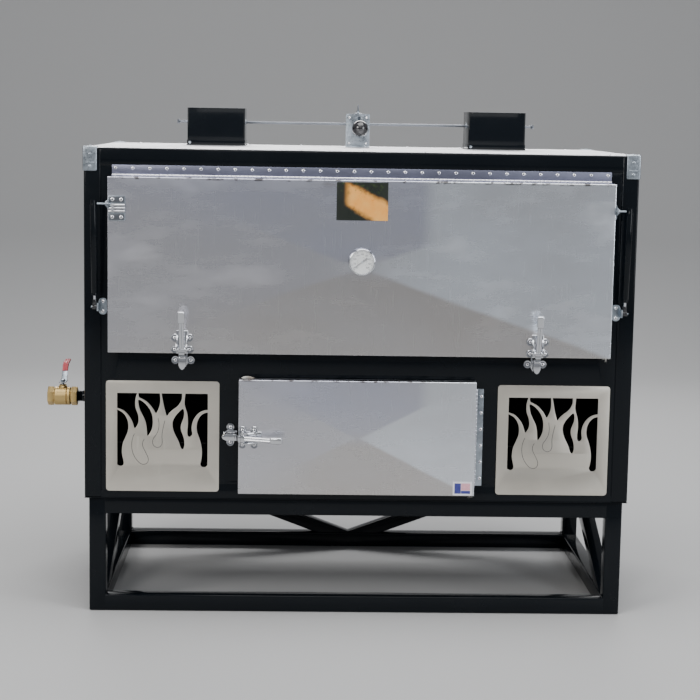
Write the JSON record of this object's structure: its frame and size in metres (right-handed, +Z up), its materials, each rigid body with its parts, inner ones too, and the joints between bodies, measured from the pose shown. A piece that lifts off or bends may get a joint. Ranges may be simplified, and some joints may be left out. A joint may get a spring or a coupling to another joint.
{
  "type": "cabinet smoker oven",
  "caption": "Wide insulated cabinet smoker on a tube stand, with a lift-up oven door, a firebox door below, flame-cut side panels and two damped flues.",
  "frame": {"origin": "the underside centre of the stand's front foot rail, where it meets the floor", "axes": "+X to the right of someone facing the doors and along the cabinet's width, +Y towards the back, +Z up"},
  "size_m": [1.8178, 1.0265, 1.5624],
  "materials": {
    "gloss_black": "gloss",
    "stainless": "satin",
    "galvanised": "satin",
    "chrome": "polished",
    "fire_brown": "matte",
    "brass": "satin",
    "rope_white": "matte",
    "mineral_wool": "matte",
    "black_plastic": "gloss",
    "red_vinyl": "satin",
    "clear_glass": "gloss"
  },
  "bodies": {
    "cabinet": {"stand_front_frame": "gloss_black", "stand_rear_frame": "gloss_black", "stand_left_side_frame": "gloss_black", "stand_right_side_frame": "gloss_black", "front_frame": "gloss_black", "outer_casing": "gloss_black", "floor_panel": "gloss_black", "flue_left": "gloss_black", "flue_right": "gloss_black", "drain_pipe": "gloss_black", "roof_panel": "stainless", "oven_liner": "stainless", "flame_panel_left": "stainless", "flame_panel_right": "stainless", "corner_cap_left_front": "galvanised", "corner_cap_left_rear": "galvanised", "corner_cap_right_front": "galvanised", "corner_cap_right_rear": "galvanised", "damper_bracket": "galvanised", "main_hinge_leaf_fixed": "galvanised", "firebox_hinge_leaf_fixed": "galvanised", "latch_left_keeper": "galvanised", "latch_right_keeper": "galvanised", "firebox_latch_keeper": "galvanised", "strut_lower_bracket_left": "galvanised", "strut_lower_bracket_right": "galvanised", "water_pan": "galvanised", "cooking_grate": "chrome", "firebox_liner": "fire_brown", "fire_grate": "fire_brown", "valve_body": "brass", "insulation_blanket": "mineral_wool"},
    "main_door": {"main_door_skin": "stainless", "main_door_inner_panel": "stainless", "main_door_insulation": "mineral_wool", "main_door_gasket": "rope_white", "main_hinge_leaf_door": "galvanised", "thermometer_case": "chrome", "thermometer_lens": "clear_glass", "strut_upper_bracket_left": "galvanised", "strut_upper_bracket_right": "galvanised", "latch_left_base": "galvanised", "latch_right_base": "galvanised"},
    "thermometer_needle": {"thermometer_needle": "black_plastic"},
    "latch_left_lever": {"latch_left_lever": "chrome"},
    "latch_right_lever": {"latch_right_lever": "chrome"},
    "firebox_door": {"firebox_door_skin": "stainless", "firebox_door_inner_panel": "stainless", "firebox_door_gasket": "rope_white", "firebox_hinge_leaf_door": "galvanised", "firebox_latch_base": "galvanised"},
    "firebox_latch_lever": {"firebox_latch_lever": "chrome"},
    "strut_rod_left": {"strut_rod_left": "galvanised"},
    "strut_rod_right": {"strut_rod_right": "galvanised"},
    "strut_tube_left": {"strut_tube_left": "gloss_black"},
    "strut_tube_right": {"strut_tube_right": "gloss_black"},
    "damper_shaft": {"damper_shaft": "galvanised", "damper_knob": "black_plastic"},
    "wing_screw": {"wing_screw": "galvanised"},
    "valve_handle": {"valve_handle": "red_vinyl"}
  },
  "joints": [
    {"name": "main_door_hinge", "type": "hinge", "parent": "cabinet", "child": "main_door", "pos_m": [0, -0.0414, 1.3389], "axis": [-1, 0, 0], "range_deg": [0, 85]},
    {"name": "thermometer_needle_turn", "type": "hinge", "parent": "main_door", "child": "thermometer_needle", "pos_m": [0, -0.0988, 1.0929], "axis": [0, 1, 0], "range_deg": [0, 270]},
    {"name": "latch_left_lift", "type": "hinge", "parent": "main_door", "child": "latch_left_lever", "pos_m": [-0.534, -0.1027, 0.8239], "axis": [1, 0, 0], "range_deg": [0, 70]},
    {"name": "latch_right_lift", "type": "hinge", "parent": "main_door", "child": "latch_right_lever", "pos_m": [0.534, -0.1027, 0.8239], "axis": [1, 0, 0], "range_deg": [0, 70]},
    {"name": "firebox_door_hinge", "type": "hinge", "parent": "cabinet", "child": "firebox_door", "pos_m": [0.358, -0.0414, 0.5569], "axis": [0, 0, 1], "range_deg": [0, 88]},
    {"name": "firebox_latch_lift", "type": "hinge", "parent": "firebox_door", "child": "firebox_latch_lever", "pos_m": [-0.35, -0.1027, 0.5569], "axis": [0, 0, -1], "range_deg": [0, 70]},
    {"name": "strut_swing_left", "type": "hinge", "parent": "cabinet", "child": "strut_rod_left", "pos_m": [-0.797, -0.0614, 0.9449], "axis": [1, 0, 0], "range_deg": [0, 2.97]},
    {"name": "strut_slide_left", "type": "slide", "parent": "strut_rod_left", "child": "strut_tube_left", "axis": [0, -0.1027, 0.9947], "range_m": [0, 0.13241]},
    {"name": "strut_swing_right", "type": "hinge", "parent": "cabinet", "child": "strut_rod_right", "pos_m": [0.797, -0.0614, 0.9449], "axis": [1, 0, 0], "range_deg": [0, 2.97]},
    {"name": "strut_slide_right", "type": "slide", "parent": "strut_rod_right", "child": "strut_tube_right", "axis": [0, -0.1027, 0.9947], "range_m": [0, 0.13241]},
    {"name": "damper_turn", "type": "hinge", "parent": "cabinet", "child": "damper_shaft", "pos_m": [0, 0.6776, 1.4974], "axis": [1, 0, 0], "range_deg": [-45, 15]},
    {"name": "wing_screw_turn", "type": "hinge", "parent": "cabinet", "child": "wing_screw", "pos_m": [0.006, 0.6776, 1.5314], "axis": [0, 0, 1], "range_deg": [0, 180]},
    {"name": "valve_turn", "type": "hinge", "parent": "cabinet", "child": "valve_handle", "pos_m": [-0.936, 0.2626, 0.6219], "axis": [0, 0, 1], "range_deg": [0, 90]}
  ],
  "couplings": [
    {"joint": "strut_swing_left", "follows": "main_door_hinge", "ratio": 0.03469},
    {"joint": "strut_slide_left", "follows": "main_door_hinge", "m_per_rad": 0.08905},
    {"joint": "strut_swing_right", "follows": "main_door_hinge", "ratio": 0.03469},
    {"joint": "strut_slide_right", "follows": "main_door_hinge", "m_per_rad": 0.08905}
  ]
}
